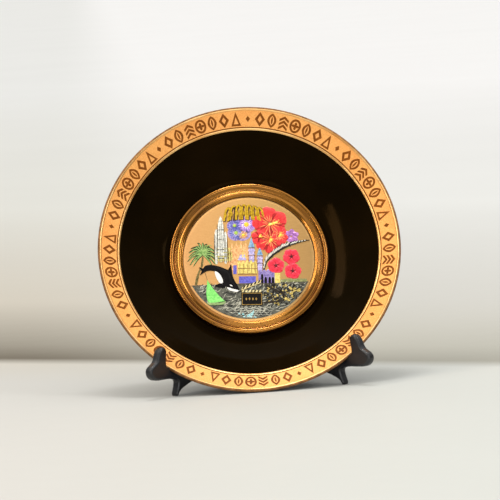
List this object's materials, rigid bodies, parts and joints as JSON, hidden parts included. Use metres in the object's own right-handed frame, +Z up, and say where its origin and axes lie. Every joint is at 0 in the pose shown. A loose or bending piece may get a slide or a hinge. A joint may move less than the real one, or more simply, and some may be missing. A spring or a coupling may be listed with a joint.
{
  "type": "souvenir plate on folding stand",
  "caption": "Round dished display plate with a gilt border and a ringed engraved metal medallion, leaning on a folding plastic easel with hooked legs.",
  "frame": {"origin": "centre of the bounding box at table level", "axes": "+Z up from the table, the plate's decorated side faces -Y, X runs across the plate"},
  "size_m": [0.203, 0.0986, 0.1848],
  "materials": {
    "porcelain": "high gloss black glaze with a matt gilt border",
    "gilt_brass": "polished gilt",
    "engraved_metal": "brushed, engraved and coloured",
    "adhesive": "matt set rubber adhesive",
    "black_plastic": "gloss moulded",
    "pin_steel": "drawn"
  },
  "bodies": {
    "hinge": {"hinge_pin": "pin_steel", "pin_cap": "black_plastic"},
    "left_leg": {"stand_leg_left": "black_plastic"},
    "right_leg": {"stand_leg_right": "black_plastic"},
    "plate": {"plate_body": "porcelain", "bezel_ring": "gilt_brass", "medallion_disc": "engraved_metal", "adhesive_disc": "adhesive"}
  },
  "joints": [
    {"name": "plate_lift", "type": "slide", "parent": "hinge", "child": "plate", "axis": [0, 0, 1], "range_m": [0, 0.25]},
    {"name": "left_leg_fold", "type": "hinge", "parent": "hinge", "child": "left_leg", "pos_m": [0, 0.02938, 0.03], "axis": [0, 0, 1], "range_deg": [0, 42]},
    {"name": "right_leg_fold", "type": "hinge", "parent": "hinge", "child": "right_leg", "pos_m": [0, 0.02938, 0.03], "axis": [0, 0, 1], "range_deg": [-42, 0]}
  ],
  "couplings": [
    {"joint": "left_leg_fold", "follows": "plate_lift", "rad_per_m": 2.93},
    {"joint": "right_leg_fold", "follows": "plate_lift", "rad_per_m": -2.93}
  ]
}
